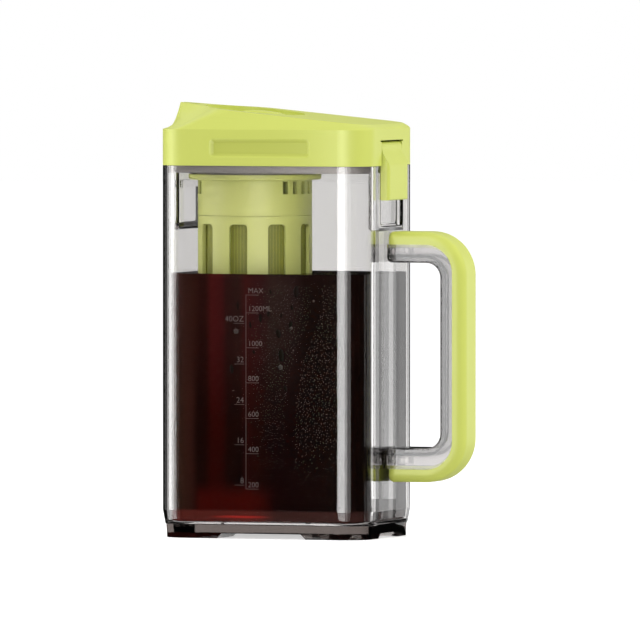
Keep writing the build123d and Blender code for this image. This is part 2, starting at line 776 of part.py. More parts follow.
# ---- base mesh: disc on the spokes ----
with BuildPart() as base_mesh:
    column(base_plug_inner - seam_gap, base_plate_top, base_plate_top + base_mesh_thickness)
base_mesh.part.label = "base_mesh"
export_step(base_mesh.part, "parts/base_mesh.step")
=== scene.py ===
import random
from math import cos, pi, radians, sin, tan

import bmesh
import bpy
from mathutils import Matrix, Vector


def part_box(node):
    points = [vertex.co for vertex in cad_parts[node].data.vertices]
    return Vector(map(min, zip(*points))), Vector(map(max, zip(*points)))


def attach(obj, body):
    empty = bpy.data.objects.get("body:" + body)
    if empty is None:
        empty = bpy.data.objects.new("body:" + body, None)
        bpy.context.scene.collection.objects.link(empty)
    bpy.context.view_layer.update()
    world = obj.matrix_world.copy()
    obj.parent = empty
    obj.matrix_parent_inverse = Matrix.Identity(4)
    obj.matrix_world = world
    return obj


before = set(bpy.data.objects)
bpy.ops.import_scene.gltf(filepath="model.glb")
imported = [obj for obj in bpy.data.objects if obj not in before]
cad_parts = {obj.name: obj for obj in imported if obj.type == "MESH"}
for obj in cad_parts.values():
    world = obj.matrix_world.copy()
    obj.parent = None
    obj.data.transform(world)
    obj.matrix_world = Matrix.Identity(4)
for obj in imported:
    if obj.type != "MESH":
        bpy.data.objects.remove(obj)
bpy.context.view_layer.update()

scene = bpy.context.scene
scene.view_settings.view_transform = "Standard"

# ---- camera ----
# A long lens stands nine metres off, twenty degrees round to the handle side and barely above the
# middle of the jug, so upright lines stay upright.
jug_half_x = 0.064
jug_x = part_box("jug_body")[0].x + jug_half_x
camera_distance = 9.0
camera_turn = radians(20)
camera_rise = radians(1.8)
film_width = 36.0
view_width = 0.3661
view_aside = 0.02033
view_height = 0.1239
looked_at = Vector((jug_x + view_aside, 0.0, view_height))
back = Vector((sin(camera_turn) * cos(camera_rise), -cos(camera_turn) * cos(camera_rise), sin(camera_rise)))
camera_data = bpy.data.cameras.new("camera")
camera_data.sensor_width = film_width
camera_data.lens = film_width * camera_distance / view_width
camera_data.clip_end = 40.0
camera = bpy.data.objects.new("camera", camera_data)
camera.location = looked_at + back * camera_distance
camera.rotation_mode = "QUATERNION"
camera.rotation_quaternion = (-back).to_track_quat("-Z", "Y")
scene.collection.objects.link(camera)
scene.camera = camera

# ---- studio ----
# A pale floor in an even white room. Black cloths hang round the jug, so that its clear walls stay
# clear; big soft lamps light the colours, and tall strip lamps draw the highlights.
white = (1.0, 1.0, 1.0, 1.0)
room_light = 0.62
floor_radius = 9.0
floor_sink = 0.0003
floor_glow = 0.5


def finish_mesh(name, shape, material):
    """Turns a bmesh into an object at the origin with one material."""
    mesh = bpy.data.meshes.new(name)
    shape.to_mesh(mesh)
    shape.free()
    mesh.materials.append(material)
    thing = bpy.data.objects.new(name, mesh)
    scene.collection.objects.link(thing)
    return thing


def blank_material(name):
    """New node material; gives its node tree and its shader."""
    material = bpy.data.materials.new(name)
    material.use_nodes = True
    tree = material.node_tree
    return material, tree, tree.nodes["Principled BSDF"]


def put(tree, socket, value):
    """Sets a socket to a plain value, or links another socket to it."""
    if isinstance(value, bpy.types.NodeSocket):
        tree.links.new(value, socket)
    else:
        socket.default_value = value


def math_step(tree, operation, *values):
    """One sum on numbers and sockets; gives its result."""
    step = tree.nodes.new("ShaderNodeMath")
    step.operation = operation
    for socket, value in zip(step.inputs, values):
        put(tree, socket, value)
    return step.outputs[0]


def seen_rays(tree):
    """Mask that is 1 for what the lens, clear plastic and gloss see, and 0 for plain light."""
    path = tree.nodes.new("ShaderNodeLightPath")
    seen = math_step(tree, "MAXIMUM", path.outputs["Is Camera Ray"], path.outputs["Is Transmission Ray"])
    return math_step(tree, "MAXIMUM", seen, path.outputs["Is Glossy Ray"])


room = bpy.data.worlds.new("white room")
scene.world = room
room.use_nodes = True
tree = room.node_tree
background = tree.nodes["Background"]
background.inputs["Color"].default_value = white
strength = tree.nodes.new("ShaderNodeMapRange")
strength.inputs["To Min"].default_value = room_light
strength.inputs["To Max"].default_value = 1.0
tree.links.new(seen_rays(tree), strength.inputs["Value"])
tree.links.new(strength.outputs["Result"], background.inputs["Strength"])

floor_material, tree, shader = blank_material("pale floor")
shader.inputs["Base Color"].default_value = (0.93, 0.93, 0.93, 1.0)
shader.inputs["Roughness"].default_value = 0.9
shader.inputs["Specular IOR Level"].default_value = 0.0
shader.inputs["Emission Color"].default_value = white
tree.links.new(math_step(tree, "MULTIPLY", seen_rays(tree), floor_glow), shader.inputs["Emission Strength"])
shape = bmesh.new()
bmesh.ops.create_circle(shape, cap_ends=True, segments=96, radius=floor_radius,
                        matrix=Matrix.Translation((0.0, 0.0, -floor_sink)))
floor = finish_mesh("floor", shape, floor_material)


def cloth(name, share):
    """Black cloth that takes a share of the light thrown back by a clear wall, and lets all else through."""
    material, tree, shader = blank_material(name)
    shader.inputs["Base Color"].default_value = (0.01, 0.01, 0.01, 1.0)
    shader.inputs["Roughness"].default_value = 1.0
    shader.inputs["Specular IOR Level"].default_value = 0.0
    path = tree.nodes.new("ShaderNodeLightPath")
    thrown = math_step(tree, "GREATER_THAN", path.outputs["Glossy Depth"], 0.5)
    open_way = tree.nodes.new("ShaderNodeBsdfTransparent")
    blend = tree.nodes.new("ShaderNodeMixShader")
    tree.links.new(math_step(tree, "MULTIPLY", thrown, share), blend.inputs["Fac"])
    tree.links.new(open_way.outputs["BSDF"], blend.inputs[1])
    tree.links.new(shader.outputs["BSDF"], blend.inputs[2])
    tree.links.new(blend.outputs["Shader"], tree.nodes["Material Output"].inputs["Surface"])
    return material


cloth_distance = 3.0
cloth_height = 1.3
cloth_start = 0.02
cloth_sink = 0.0001


def hang_cloth(name, start, end, material):
    """Cloth laid over the floor and up round the set between two bearings, from the front to the right."""
    shape = bmesh.new()
    outer = Vector((sin(radians(start)), -cos(radians(start)), 0.0)) * cloth_distance
    middle = Vector((jug_x, 0.0, -cloth_sink))
    corners = [shape.verts.new(middle + outer * cloth_start), shape.verts.new(middle + outer),
               shape.verts.new(middle + outer + Vector((0.0, 0.0, cloth_height)))]
    runs = [shape.edges.new(corners[:2]), shape.edges.new(corners[1:])]
    bmesh.ops.spin(shape, geom=corners + runs, cent=middle, axis=(0.0, 0.0, 1.0),
                   angle=radians(end - start), steps=48)
    flag = finish_mesh(name, shape, material)
    flag.visible_camera = False
    flag.visible_diffuse = False
    flag.visible_shadow = False


hang_cloth("dark flag", -182.0, 136.0, cloth("black cloth", 1.0))
hang_cloth("half flag", 136.0, 178.0, cloth("thin black cloth", 0.4))


def soft_box(name, place, facing, width, height, radiance, lights):
    """Rectangular lamp at a place, facing a point; it may serve the colours or the gloss alone."""
    lamp_data = bpy.data.lights.new(name, "AREA")
    lamp_data.shape = "RECTANGLE"
    lamp_data.size = width
    lamp_data.size_y = height
    lamp_data.energy = radiance * pi * width * height
    lamp = bpy.data.objects.new(name, lamp_data)
    lamp.location = place
    lamp.rotation_mode = "QUATERNION"
    lamp.rotation_quaternion = (Vector(place) - Vector(facing)).to_track_quat("Z", "Y")
    lamp.visible_camera = False
    lamp.visible_diffuse = lights != "gloss"
    lamp.visible_glossy = lights != "colour"
    lamp.visible_transmission = lights != "colour"
    scene.collection.objects.link(lamp)


def wash(name, way, distance, width, height, radiance, lights="colour"):
    """Big soft lamp that faces the middle of the jug from a direction."""
    place = looked_at + Vector(way).normalized() * distance
    soft_box(name, place, looked_at, width, height, radiance, lights)


strip_height = 0.30
left_corner = (-0.047, -0.028)
right_corner = (0.047, -0.028)
close_by = 0.1
further_back = 0.55


def strip(name, corner, distance, start, end, radiance):
    """Lamp as tall as the jug, seen from one of its corners between two bearings."""
    turn = radians((start + end) / 2)
    facing = Vector((jug_x + corner[0], corner[1], strip_height / 2))
    place = facing + Vector((sin(turn), -cos(turn), 0.0)) * distance
    width = 2 * distance * tan(radians(end - start) / 2)
    soft_box(name, place, facing, width, strip_height, radiance, "gloss")


wash("left wash", (-0.90, -0.25, 0.40), 1.5, 0.9, 1.9, 1.15)
wash("front wash", (0.05, -0.70, 0.72), 1.8, 1.4, 1.6, 1.15)
wash("right wash", (0.88, 0.20, 0.30), 1.5, 1.1, 1.8, 1.7)
wash("top box", (0.05, -0.1, 1.0), 1.7, 1.3, 1.1, 0.7, "both")
strip("left strip", left_corner, close_by, -78.9, -51.1, 6.0)
strip("left back strip", left_corner, close_by, -109.9, -98.3, 0.45)
strip("front strip", right_corner, close_by, -13.5, 10.5, 7.5)
strip("front side strip", right_corner, close_by, 10.5, 20.0, 4.0)
strip("front far strip", right_corner, close_by, 20.0, 33.2, 1.2)
strip("back strip", right_corner, further_back, 143.0, 149.4, 1.8)
strip("wall strip", right_corner, further_back, 149.4, 153.6, 1.7)
strip("wall far strip", right_corner, further_back, 153.6, 156.4, 1.0)

# ---- jug body ----
# One clear copolyester moulding, three millimetres thick, with four feet, a catch pocket at each
# end and two tenons for the handle. The plastic is polished and darkens a little with depth.
hair_pitch = 900.0
hair_squeeze = 0.05
clear_bump = 0.02
clear_bump_depth = 0.0001
clear_ior = 1.5


def dress(node_name, material):
    """Gives a CAD piece its finished material."""
    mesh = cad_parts[node_name].data
    mesh.materials.clear()
    mesh.materials.append(material)


def socket_group(name, ins, outs):
    """Empty shader group with named inputs and outputs; gives the group and its two end nodes."""
    group = bpy.data.node_groups.new(name, "ShaderNodeTree")
    for label, kind, value in ins:
        socket = group.interface.new_socket(name=label, in_out="INPUT", socket_type=kind)
        socket.default_value = value
    for label, kind in outs:
        group.interface.new_socket(name=label, in_out="OUTPUT", socket_type=kind)
    return group, group.nodes.new("NodeGroupInput"), group.nodes.new("NodeGroupOutput")


def object_place(tree):
    """Place on the object, which doesn't move with the pose."""
    return tree.nodes.new("ShaderNodeTexCoord").outputs["Object"]


def axes(tree):
    """The object place split into X, Y and Z."""
    split = tree.nodes.new("ShaderNodeSeparateXYZ")
    tree.links.new(object_place(tree), split.inputs["Vector"])
    return split.outputs["X"], split.outputs["Y"], split.outputs["Z"]


def drawn_upright(tree, squeeze):
    """The object place squeezed in height, so that a pattern on it runs in upright streaks."""
    mapping = tree.nodes.new("ShaderNodeMapping")
    mapping.inputs["Scale"].default_value = (1.0, 1.0, squeeze)
    tree.links.new(object_place(tree), mapping.inputs["Vector"])
    return mapping.outputs["Vector"]


def noise(tree, place, scale, detail=2.0):
    """Soft clouds from 0 to 1 over a place."""
    clouds = tree.nodes.new("ShaderNodeTexNoise")
    clouds.inputs["Detail"].default_value = detail
    put(tree, clouds.inputs["Scale"], scale)
    tree.links.new(place, clouds.inputs["Vector"])
    return clouds.outputs["Fac"]


def way_along(tree, source, start, end, kind="LINEAR"):
    """How far the source has come from one value to another, from 0 to 1."""
    span = tree.nodes.new("ShaderNodeMapRange")
    span.interpolation_type = kind
    span.inputs["From Min"].default_value = start
    span.inputs["From Max"].default_value = end
    tree.links.new(source, span.inputs["Value"])
    return span.outputs["Result"]


def colour_bands(tree, source, stops):
    """Colour that runs through a row of places and colours."""
    ramp = tree.nodes.new("ShaderNodeValToRGB")
    elements = ramp.color_ramp.elements
    while len(elements) < len(stops):
        elements.new(0.5)
    for element, (place, colour) in zip(elements, stops):
        element.position = place
        element.color = (*colour, 1.0)
    tree.links.new(source, ramp.inputs["Fac"])
    return ramp.outputs["Color"]


def bumped(tree, bent_node, height, strength, depth):
    """Tilts what a shader or another bump takes as its surface, by a height."""
    bump = tree.nodes.new("ShaderNodeBump")
    bump.inputs["Strength"].default_value = strength
    bump.inputs["Distance"].default_value = depth
    tree.links.new(height, bump.inputs["Height"])
    tree.links.new(bump.outputs["Normal"], bent_node.inputs["Normal"])


# handling marks on polished plastic: faint clouds and fine hairlines
handling, ends_in, ends_out = socket_group(
    "handling marks",
    [("Roughness", "NodeSocketFloat", 0.02), ("Marks", "NodeSocketFloat", 0.010),
     ("Scale", "NodeSocketFloat", 30.0)],
    [("Roughness", "NodeSocketFloat"), ("Height", "NodeSocketFloat")])
cloud = noise(handling, object_place(handling), ends_in.outputs["Scale"], detail=4.0)
marked = math_step(handling, "MULTIPLY_ADD", cloud, ends_in.outputs["Marks"], ends_in.outputs["Roughness"])
handling.links.new(marked, ends_out.inputs["Roughness"])
hairs = noise(handling, drawn_upright(handling, hair_squeeze), hair_pitch)
handling.links.new(hairs, ends_out.inputs["Height"])


def clear_plastic(name, depth_colour, depth_density, roughness):
    """Polished clear plastic that lets lamp light through and darkens with depth."""
    material, tree, shader = blank_material(name)
    marks = tree.nodes.new("ShaderNodeGroup")
    marks.node_tree = handling
    marks.inputs["Roughness"].default_value = roughness
    tree.links.new(marks.outputs["Roughness"], shader.inputs["Roughness"])
    bumped(tree, shader, marks.outputs["Height"], clear_bump, clear_bump_depth)
    shader.inputs["Transmission Weight"].default_value = 1.0
    shader.inputs["IOR"].default_value = clear_ior
    open_way = tree.nodes.new("ShaderNodeBsdfTransparent")
    open_way.inputs["Color"].default_value = (0.97, 0.97, 0.97, 1.0)
    path = tree.nodes.new("ShaderNodeLightPath")
    blend = tree.nodes.new("ShaderNodeMixShader")
    tree.links.new(path.outputs["Is Shadow Ray"], blend.inputs["Fac"])
    tree.links.new(shader.outputs["BSDF"], blend.inputs[1])
    tree.links.new(open_way.outputs["BSDF"], blend.inputs[2])
    tree.links.new(blend.outputs["Shader"], tree.nodes["Material Output"].inputs["Surface"])
    inside = tree.nodes.new("ShaderNodeVolumeAbsorption")
    inside.inputs["Color"].default_value = (*depth_colour, 1.0)
    inside.inputs["Density"].default_value = depth_density
    tree.links.new(inside.outputs["Volume"], tree.nodes["Material Output"].inputs["Volume"])
    return material, tree, shader


jug_plastic, tree, shader = clear_plastic("clear jug plastic", depth_colour=(0.32, 0.25, 0.22),
                                          depth_density=27.0, roughness=0.01)
shader.inputs["Base Color"].default_value = (0.874, 0.869, 0.864, 1.0)
# the outer face at the handle end has sunk a little in the mould, in shallow upright waves
end_wall_half = 0.033
end_wall_skin = 0.0632
sink_depth = 0.00113
across, along, _ = axes(tree)
waves = ((0.07, 0.0), (0.17, 0.40), (0.30, 0.10), (0.42, 0.37), (0.61, 1.0), (1.0, 0.0))
sink = colour_bands(tree, way_along(tree, along, -end_wall_half, end_wall_half),
                    [(place, (height, height, height)) for place, height in waves])
outer_face = math_step(tree, "GREATER_THAN", across, jug_x + end_wall_skin)
bumped(tree, tree.nodes["Bump"], math_step(tree, "MULTIPLY", sink, outer_face), 1.0, sink_depth)
dress("jug_body", jug_plastic)

# ---- handle frame ----
# The inner half of the handle is a second clear moulding, plugged on to the jug's tenons. Its inner
# edge is painted darker, with a thin dark line, as a painted reflection of the dark room.
opening_low = 0.0518
opening_high = 0.1575
opening_side = 0.0972
opening_round = 0.0085
edge_depth = 0.010
rail_plastic, tree, shader = clear_plastic("clear rail plastic", depth_colour=(0.3, 0.26, 0.26),
                                           depth_density=45.0, roughness=0.03)
opening_middle = (opening_high + opening_low) / 2
straight_side = opening_side - opening_round
straight_half = (opening_high - opening_low) / 2 - opening_round
from_edge = object_place(tree)
for operation, amount in (("SUBTRACT", (jug_x, 0.0, opening_middle)), ("ABSOLUTE", (0.0, 0.0, 0.0)),
                          ("SUBTRACT", (straight_side, 1.0, straight_half)), ("MAXIMUM", (0.0, 0.0, 0.0)),
                          ("LENGTH", (0.0, 0.0, 0.0))):
    step = tree.nodes.new("ShaderNodeVectorMath")
    step.operation = operation
    step.inputs[1].default_value = amount
    tree.links.new(from_edge, step.inputs[0])
    from_edge = step.outputs["Value" if operation == "LENGTH" else "Vector"]
# painted reflection of the dark room: darker towards the inner edge of the opening, with a thin dark line
painted_edge_shade = colour_bands(tree, way_along(tree, from_edge, opening_round, opening_round + edge_depth), (
    (0.0, (0.30, 0.295, 0.29)), (0.26, (0.30, 0.295, 0.29)), (0.32, (0.03, 0.03, 0.03)),
    (0.42, (0.03, 0.03, 0.03)), (0.50, (0.46, 0.45, 0.44)), (0.66, (0.66, 0.65, 0.64)),
    (0.90, (0.70, 0.69, 0.68))))
tree.links.new(painted_edge_shade, shader.inputs["Base Color"])
dress("handle_frame", rail_plastic)

# ---- handle cover ----
# A satin lime polypropylene moulding, with a rib that snaps into the rail's groove. The opaque
# plastics have a faint mould grain and slow changes of shade from the flow of the melt.
lime = (0.60, 0.655, 0.125, 1.0)
satin = 0.38
flow_scale = 18.0
grain_scale = 1800.0
grain_bump = 0.15
grain_depth = 0.00005
grain_gloss_spread = 0.08
darkest_shade = 0.98
moulded, ends_in, ends_out = socket_group(
    "mould grain",
    [("Colour", "NodeSocketColor", lime), ("Roughness", "NodeSocketFloat", 0.35),
     ("Shade", "NodeSocketFloat", 0.04)],
    [("Colour", "NodeSocketColor"), ("Roughness", "NodeSocketFloat"), ("Height", "NodeSocketFloat")])
flow = noise(moulded, object_place(moulded), flow_scale)
shade = math_step(moulded, "MULTIPLY_ADD", flow, ends_in.outputs["Shade"], darkest_shade)
shaded = moulded.nodes.new("ShaderNodeVectorMath")
shaded.operation = "SCALE"
moulded.links.new(ends_in.outputs["Colour"], shaded.inputs[0])
moulded.links.new(shade, shaded.inputs["Scale"])
moulded.links.new(shaded.outputs["Vector"], ends_out.inputs["Colour"])
grain = noise(moulded, object_place(moulded), grain_scale)
grain_rough = math_step(moulded, "MULTIPLY_ADD", grain, grain_gloss_spread, ends_in.outputs["Roughness"])
moulded.links.new(grain_rough, ends_out.inputs["Roughness"])
moulded.links.new(grain, ends_out.inputs["Height"])


def moulded_plastic(name, colour, roughness):
    """Opaque moulding; gives its material, its tree, its shader and its colour."""
    material, tree, shader = blank_material(name)
    surface = tree.nodes.new("ShaderNodeGroup")
    surface.node_tree = moulded
    surface.inputs["Colour"].default_value = colour
    surface.inputs["Roughness"].default_value = roughness
    tree.links.new(surface.outputs["Colour"], shader.inputs["Base Color"])
    tree.links.new(surface.outputs["Roughness"], shader.inputs["Roughness"])
    bumped(tree, shader, surface.outputs["Height"], grain_bump, grain_depth)
    shader.inputs["Specular IOR Level"].default_value = 0.35
    return material, tree, shader, surface.outputs["Colour"]


lime_plastic = moulded_plastic("lime plastic", lime, satin)[0]
dress("handle_cover", lime_plastic)

# ---- coffee ----
# Cold brew fills the jug to a little above the top mark, just inside the moulding. It is near black,
# under painted light: brown and red bands that bend a little, and a painted red glow low at the spout side.
coffee_half_x = 0.0583
coffee_half_y = 0.0412
coffee_round = 0.0115
coffee_foot_round = 0.0028
coffee_bottom = 0.0086
coffee_top = 0.1510
rim_width = 0.0008
rim_rise = 0.0004
coffee_size = (2 * coffee_half_x, 2 * coffee_half_y, coffee_top - coffee_bottom)
shape = bmesh.new()
bmesh.ops.create_cube(shape, size=1.0)
bmesh.ops.scale(shape, vec=coffee_size, verts=shape.verts)
bmesh.ops.translate(shape, vec=(jug_x, 0.0, (coffee_top + coffee_bottom) / 2), verts=shape.verts)
upright = [edge for edge in shape.edges if abs(edge.verts[0].co.z - edge.verts[1].co.z) > 0.01]
bmesh.ops.bevel(shape, geom=upright, offset=coffee_round, offset_type="OFFSET", segments=12, profile=0.5,
                affect="EDGES", material=-1)
low_edges = [edge for edge in shape.edges if max(vert.co.z for vert in edge.verts) < coffee_bottom + 0.001]
bmesh.ops.bevel(shape, geom=low_edges, offset=coffee_foot_round, offset_type="OFFSET", segments=5,
                profile=0.5, affect="EDGES", material=-1)
top_face = [face for face in shape.faces if face.calc_center_median().z > coffee_top - 0.0001]
bmesh.ops.inset_region(shape, faces=top_face, thickness=rim_width, use_boundary=True)
bmesh.ops.translate(shape, vec=(0.0, 0.0, -rim_rise), verts=top_face[0].verts)


def fade(tree, source, start, end):
    """Smooth mask from 0 at one value of the source to 1 at another."""
    return way_along(tree, source, start, end, "SMOOTHSTEP")


def near(tree, source, middle, inner, outer):
    """Mask that is 1 within a distance of a value and 0 past a longer one."""
    away = math_step(tree, "ABSOLUTE", math_step(tree, "SUBTRACT", source, middle))
    return fade(tree, away, outer, inner)


def both(tree, first, second):
    """Product of two masks."""
    return math_step(tree, "MULTIPLY", first, second)


def blended(tree, mask, low, high):
    """Colour mixed from two by a mask; each is a colour or a socket."""
    mix = tree.nodes.new("ShaderNodeMix")
    mix.data_type = "RGBA"
    tree.links.new(mask, mix.inputs["Factor"])
    for label, value in (("A", low), ("B", high)):
        put(tree, mix.inputs[label], (*value, 1.0) if isinstance(value, tuple) else value)
    return mix.outputs["Result"]


coffee_material, tree, shader = blank_material("cold brew")
across, _, up = axes(tree)
# long upright streaks bend the bands of painted light a little
streak_pitch = 90.0
streak_squeeze = 0.08
bend = 0.006
streaks = noise(tree, drawn_upright(tree, streak_squeeze), streak_pitch, detail=3.0)
bent = math_step(tree, "MULTIPLY_ADD", streaks, bend, across)
bent_way = way_along(tree, bent, jug_x - coffee_half_x + bend / 2, jug_x + coffee_half_x + bend / 2)
# painted light: bands of brown and red across the coffee; the lower set is darker
upper_painted_light = colour_bands(tree, bent_way, (
    (0.06, (0.0348, 0.0148, 0.0126)), (0.14, (0.0266, 0.0081, 0.0052)), (0.18, (0.0178, 0.0037, 0.0030)),
    (0.21, (0.0200, 0.0044, 0.0030)), (0.24, (0.0466, 0.0059, 0.0059)), (0.29, (0.0377, 0.0052, 0.0052)),
    (0.32, (0.0215, 0.0059, 0.0052)), (0.39, (0.0192, 0.0074, 0.0059)), (0.42, (0.0318, 0.0059, 0.0052)),
    (0.50, (0.0229, 0.0059, 0.0059)), (0.55, (0.0185, 0.0096, 0.0074)), (0.66, (0.0141, 0.0067, 0.0059)),
    (0.74, (0.0059, 0.0022, 0.0015)), (0.90, (0.0059, 0.0022, 0.0015))))
lower_painted_light = colour_bands(tree, bent_way, (
    (0.06, (0.0299, 0.0129, 0.0075)), (0.13, (0.0272, 0.0075, 0.0048)), (0.17, (0.0075, 0.0014, 0.0007)),
    (0.21, (0.0088, 0.0014, 0.0007)), (0.24, (0.0218, 0.0014, 0.0007)), (0.29, (0.0190, 0.0014, 0.0007)),
    (0.32, (0.0082, 0.0014, 0.0007)), (0.39, (0.0068, 0.0014, 0.0007)), (0.42, (0.0170, 0.0020, 0.0014)),
    (0.50, (0.0088, 0.0014, 0.0007)), (0.56, (0.0054, 0.0007, 0.0007)), (0.90, (0.0048, 0.0014, 0.0007))))
bands_change = (0.055, 0.140)
brew = blended(tree, fade(tree, up, *bands_change), lower_painted_light, upper_painted_light)
# painted red light low at the spout side, and a painted highlight as a short streak in the jug's foot
glow_top = (0.034, 0.022)
foot_top = (0.0168, 0.0152)
streak_height = 0.0126
streak_middle = jug_x - 0.013
spout_side = fade(tree, across, jug_x + 0.012, jug_x - 0.010)
inside_corner = fade(tree, across, jug_x - 0.0425, jug_x - 0.0365)
# painted glow: red light painted into the coffee's colour low at the spout side
glow = both(tree, both(tree, spout_side, inside_corner), fade(tree, up, *glow_top))
brew = blended(tree, glow, brew, (0.038, 0.002, 0.001))
painted_foot_light = blended(tree, spout_side, (0.035, 0.014, 0.012), (0.090, 0.017, 0.013))
brew = blended(tree, fade(tree, up, *foot_top), brew, painted_foot_light)
painted_red_streak = both(tree, near(tree, up, streak_height, 0.0002, 0.0010),
                  near(tree, across, streak_middle, 0.003, 0.021))
brew = blended(tree, painted_red_streak, brew, (0.33, 0.020, 0.016))
tree.links.new(brew, shader.inputs["Base Color"])
shader.inputs["Roughness"].default_value = 0.12
shader.inputs["IOR"].default_value = 1.34
shader.inputs["Specular IOR Level"].default_value = 0.15
coffee = finish_mesh("coffee", shape, coffee_material)
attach(coffee, "jug")

# ---- lid shell ----
# One lime polypropylene moulding with a sloped top, a pointed spout and a round well, which sits on
# the jug's rim. The long grip recesses are painted a little darker than the walls, as painted shade.
grip_middle = 0.2229
grip_half_wide = 0.034
grip_half_tall = 0.0066
wall_face = 0.045
lid_plastic, tree, shader, plain = moulded_plastic("lime lid plastic", lime, satin)
across, along, up = axes(tree)
# painted shade: the sunk grip recesses on the long walls get a darker lime
sunk = fade(tree, math_step(tree, "ABSOLUTE", along), wall_face - 0.00015, wall_face - 0.0012)
grip = both(tree, both(tree, sunk, near(tree, across, jug_x, grip_half_wide, grip_half_wide + 0.003)),
            near(tree, up, grip_middle, grip_half_tall, grip_half_tall + 0.001))
tree.links.new(blended(tree, grip, plain, (0.52, 0.565, 0.10)), shader.inputs["Base Color"])
dress("lid_shell", lid_plastic)

# ---- lid plug ----
# A lime tray that presses into the lid. It carries the seal, the filter's socket and the pour slots,
# and the grey lip of the seal is moulded round its lower edge.
silicone_grey = (0.215, 0.20, 0.19)
lip_top = 0.20915
lip_half_x = 0.0545
lip_half_y = 0.0355
lip_edge = 0.0005
plug_plastic, tree, shader, plain = moulded_plastic("lime plug plastic", lime, satin)
across, along, up = axes(tree)
inboard = both(tree, near(tree, across, jug_x, lip_half_x, lip_half_x + lip_edge),
               near(tree, along, 0.0, lip_half_y, lip_half_y + lip_edge))
lipped = blended(tree, inboard, silicone_grey, plain)
above_lip = fade(tree, up, lip_top - 0.0001, lip_top + 0.0001)
tree.links.new(blended(tree, above_lip, lipped, plain), shader.inputs["Base Color"])
dress("lid_plug", plug_plastic)

# ---- lid seal and filter gasket ----
# Two grey silicone rings. The seal is a band stretched round the plug, and the gasket is a flat
# washer between the plug and the filter's flange.
grey_silicone = moulded_plastic("grey silicone", (*silicone_grey, 1.0), roughness=0.5)[0]
for ring_name in ("lid_seal", "filter_gasket"):
    dress(ring_name, grey_silicone)

# ---- latch ----
# A lime polypropylene flap that turns on a pin in the lid's window. Its barb hooks under the rib in
# the jug's pocket.
dress("latch", lime_plastic)

# ---- latch pin ----
# A plain steel rod, cut to length and pushed through both ears of the lid and through the latch,
# which turns on it.
steel = moulded_plastic("steel", (0.6, 0.6, 0.6, 1.0), roughness=0.25)[0]
dress("latch_pin", steel)

# ---- fill cap and cap core ----
# Two lime polypropylene mouldings pressed together: a level disc with a rim and an arched finger
# bar, and under it the cup that fills the port in the well.
for cap_name in ("fill_cap", "cap_core"):
    dress(cap_name, lime_plastic)

# ---- cap seal ----
# A pale ring moulded from silicone and stretched into the groove of the core, where it closes the
# port in the well.
pale_silicone = moulded_plastic("pale silicone", (0.6, 0.6, 0.57, 1.0), roughness=0.5)[0]
dress("cap_seal", pale_silicone)

# ---- filter collar, cage and base ----
# Three paler lime mouldings. The collar hangs from the plug by its flange, the cage sits on the
# collar's spigot, and the base pushes into the foot of the cage.
filter_plastic = moulded_plastic("lime filter plastic", (0.475, 0.50, 0.155, 1.0), roughness=0.42)[0]
for filter_name in ("filter_collar", "filter_cage", "filter_base"):
    dress(filter_name, filter_plastic)

# ---- filter mesh and base mesh ----
# A sleeve of fine woven nylon inside the cage, ribbed upright by its fold lines, and a disc of the
# same cloth on the spokes of the base.
threads_round = 75.0
threads_up = 2500.0
folds_round = 100.0 / (2 * pi)
thread_bump = 0.4
thread_depth = 0.0001
mesh_material, tree, shader = blank_material("woven mesh")
across, along, up = axes(tree)
filter_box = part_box("filter_mesh")
filter_x = (filter_box[0].x + filter_box[1].x) / 2
round_about = math_step(tree, "ARCTAN2", along, math_step(tree, "SUBTRACT", across, filter_x))


def thread_waves(source, count):
    """Wave from 0 to 1 that repeats a number of times per unit of the source."""
    turns = math_step(tree, "MULTIPLY", source, count * 2 * pi)
    return math_step(tree, "MULTIPLY_ADD", math_step(tree, "SINE", turns), 0.5, 0.5)


threads = math_step(tree, "MAXIMUM", thread_waves(round_about, threads_round), thread_waves(up, threads_up))
woven = fade(tree, threads, 0.45, 0.85)
cloth_colour = blended(tree, woven, (0.105, 0.111, 0.004), (0.195, 0.205, 0.012))
folds = fade(tree, thread_waves(round_about, folds_round), 0.72, 0.98)
tree.links.new(blended(tree, folds, cloth_colour, (0.225, 0.236, 0.020)), shader.inputs["Base Color"])
shader.inputs["Roughness"].default_value = 0.55
bumped(tree, shader, threads, thread_bump, thread_depth)
for mesh_name in ("filter_mesh", "base_mesh"):
    dress(mesh_name, mesh_material)

# ---- graduations ----
# Millilitres to the right of a thin upright line and fluid ounces to its left, screen-printed on the
# front wall in pale ink.
ink_thickness = 0.00003
ink_half_stroke = 0.0001
letter_share = 0.73
letter_thinning = 0.00004
line_x = -0.0082
line_half = 0.00012
line_low = 0.0285
line_high = 0.1395
above_mark = 0.0010
millilitre_mark_end = -0.0005
millilitre_words_start = -0.0070
millilitre_tall = 0.0032
ounce_mark = (-0.0153, -0.0092)
ounce_words_end = -0.0096
ounce_tall = 0.0034
wear_scale = 700.0
ink_material, tree, shader = blank_material("pale ink")
wear = noise(tree, object_place(tree), wear_scale)
tree.links.new(blended(tree, wear, (0.055, 0.037, 0.034), (0.080, 0.057, 0.053)), shader.inputs["Base Color"])
shader.inputs["Roughness"].default_value = 0.6
shape = bmesh.new()


def ink_bar(left, right, low, high):
    """Thin printed bar on the front wall."""
    size = Vector((right - left, ink_thickness, high - low))
    middle = Vector((jug_x + (left + right) / 2, -wall_face - ink_thickness, (low + high) / 2))
    bmesh.ops.create_cube(shape, size=1.0, matrix=Matrix.Translation(middle) @ Matrix.Diagonal((*size, 1.0)))


